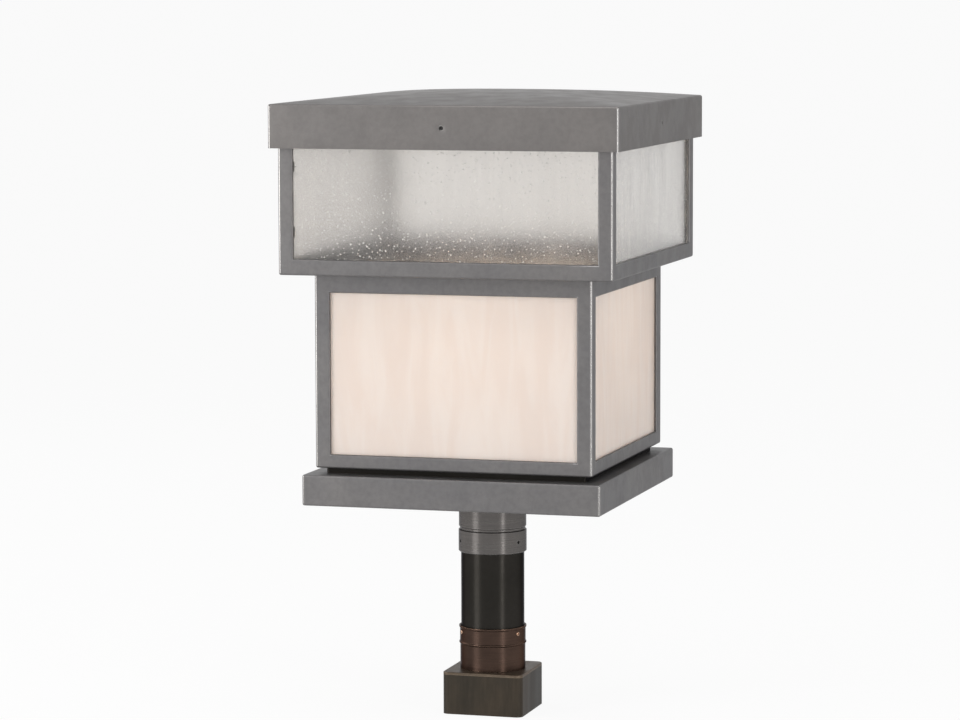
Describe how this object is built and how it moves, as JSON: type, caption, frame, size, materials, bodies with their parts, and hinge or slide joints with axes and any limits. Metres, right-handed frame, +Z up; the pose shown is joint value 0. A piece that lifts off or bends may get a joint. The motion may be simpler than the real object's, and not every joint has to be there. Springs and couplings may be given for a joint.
{
  "type": "deck post cap light",
  "caption": "Square two-tier lantern with a pillowed lift-off roof, glazed frames, folded tray and fitter on a round post tube, ending in a square sleeve that caps a deck post.",
  "frame": {"origin": "middle of the open bottom edge of the square post sleeve", "axes": "+Z up along the post tube, -Y towards the front, +X to the right"},
  "size_m": [0.4176, 0.4176, 0.7467],
  "materials": {
    "pewter": "satin powder coat over folded sheet steel",
    "zinc_steel": "bright zinc plate",
    "black_steel": "black oxide",
    "copper_screw": "bright copper plate",
    "dark_bronze": "satin dark bronze powder coat",
    "copper_brown": "oil-rubbed copper brown",
    "seedy_glass": "clear seedy glass with fine draw lines",
    "opal_glass": "opal art glass with soft upright streaks",
    "frosted_glass": "frosted lamp glass",
    "porcelain": "glazed white porcelain",
    "brass": "plain brass sheet",
    "nickel": "nickel-plated brass sheet",
    "black_glass": "black insulator glass with a soldered tip"
  },
  "bodies": {
    "post_cap": {"post_sleeve": "dark_bronze", "cap_plate": "dark_bronze", "post_collar": "copper_brown", "collar_set_screws": "copper_screw"},
    "stem": {"stem_tube": "dark_bronze"},
    "roof": {"roof_cap": "pewter", "roof_gussets": "zinc_steel", "roof_clinch_nuts": "zinc_steel", "roof_set_screws": "black_steel"},
    "lamp": {"lamp_globe": "frosted_glass", "lamp_cap": "nickel", "lamp_contact": "black_glass"},
    "lantern": {"base_tray": "pewter", "deck_plate": "pewter", "deck_screws": "zinc_steel", "fitter": "pewter", "fitter_set_screws": "black_steel", "lamp_stem": "zinc_steel", "lampholder_body": "porcelain", "lampholder_contact": "brass", "lampholder_shell": "brass", "lower_frame": "pewter", "lower_glass_back": "opal_glass", "lower_glass_clips": "zinc_steel", "lower_glass_front": "opal_glass", "lower_glass_left": "opal_glass", "lower_glass_right": "opal_glass", "stem_locknuts": "zinc_steel", "upper_frame": "pewter", "upper_glass_back": "seedy_glass", "upper_glass_clips": "zinc_steel", "upper_glass_front": "seedy_glass", "upper_glass_left": "seedy_glass", "upper_glass_right": "seedy_glass"}
  },
  "joints": [
    {"name": "stem_turn", "type": "hinge", "parent": "post_cap", "child": "stem", "pos_m": [0, 0, 0.0523], "axis": [0, 0, 1], "range_deg": [-180, 180]},
    {"name": "head_lift", "type": "slide", "parent": "stem", "child": "lantern", "axis": [0, 0, 1], "range_m": [0, 0.09]},
    {"name": "roof_lift", "type": "slide", "parent": "lantern", "child": "roof", "axis": [0, 0, 1], "range_m": [0, 0.12]},
    {"name": "lamp_unscrew", "type": "slide", "parent": "lantern", "child": "lamp", "axis": [0, 0, 1], "range_m": [0, 0.024]}
  ]
}
